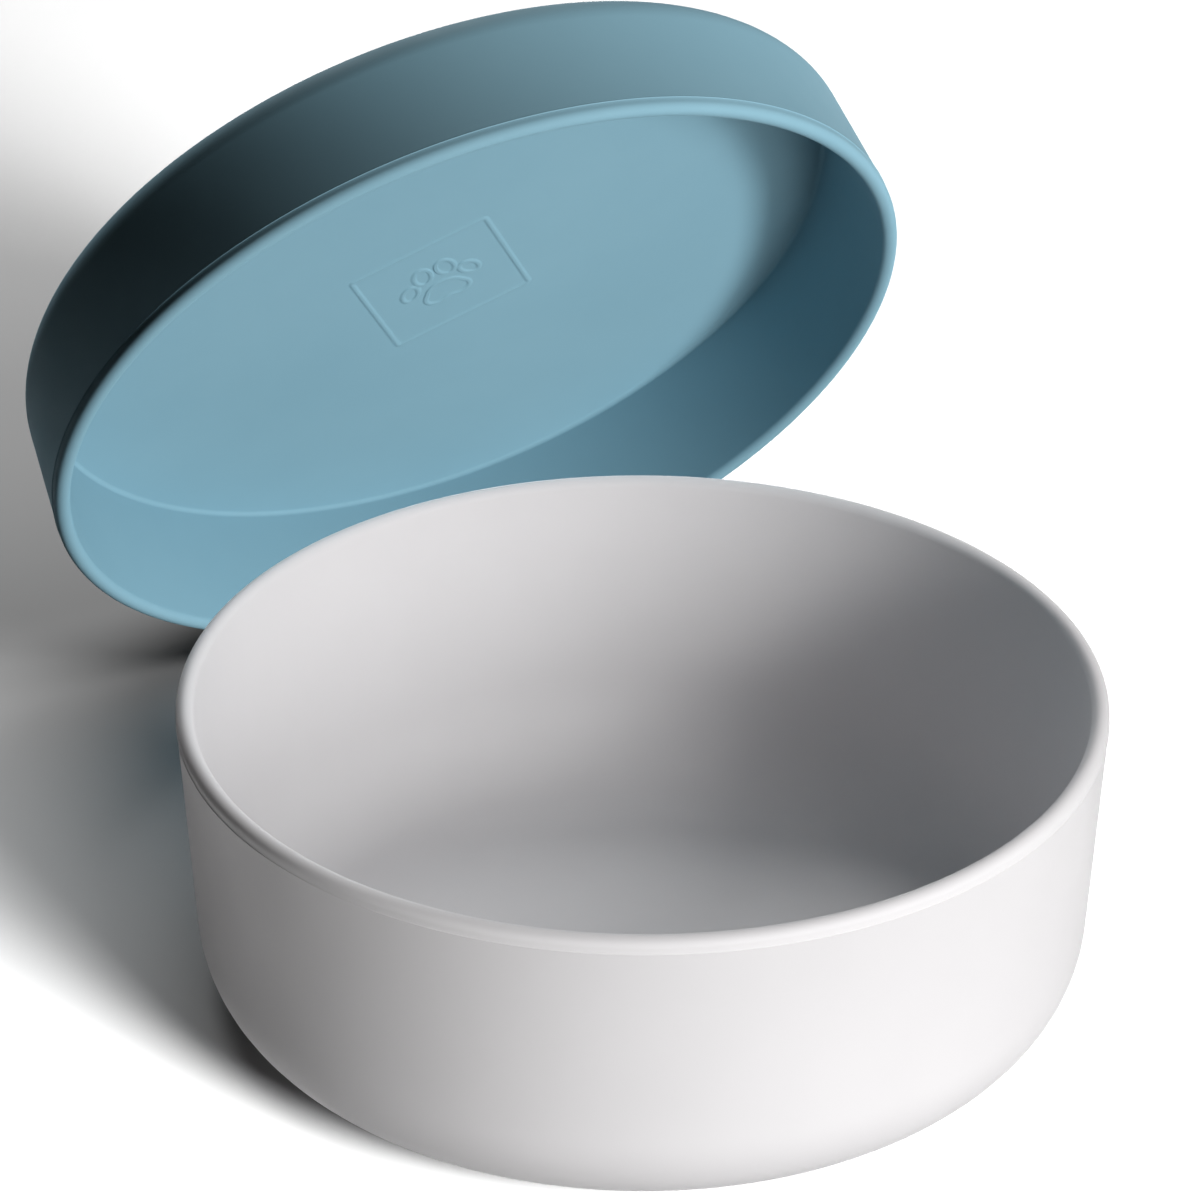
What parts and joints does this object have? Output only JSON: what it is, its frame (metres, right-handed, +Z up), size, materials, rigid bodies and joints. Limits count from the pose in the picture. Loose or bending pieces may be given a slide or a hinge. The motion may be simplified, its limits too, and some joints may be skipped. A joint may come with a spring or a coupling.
{
  "type": "pet bowl with lid",
  "caption": "Round silicone pet bowl with straight, slightly flared walls and a shallow, wider lid that slips over the rim; the lid stands behind the bowl and doubles as a dish.",
  "frame": {"origin": "centre of the bowl's flat underside", "axes": "+Z up along the bowl's axis, +Y from the bowl towards the lid that stands behind it, +X to the right seen from the front"},
  "size_m": [0.1883, 0.2342, 0.1486],
  "materials": {
    "grey_silicone": "satin",
    "blue_silicone": "satin"
  },
  "bodies": {
    "bowl": {"bowl": "grey_silicone"},
    "lid": {"lid": "blue_silicone"}
  },
  "joints": [
    {"name": "lid_lift", "type": "slide", "parent": "bowl", "child": "lid", "axis": [0, 0, 1], "range_m": [0, 0.1]}
  ]
}
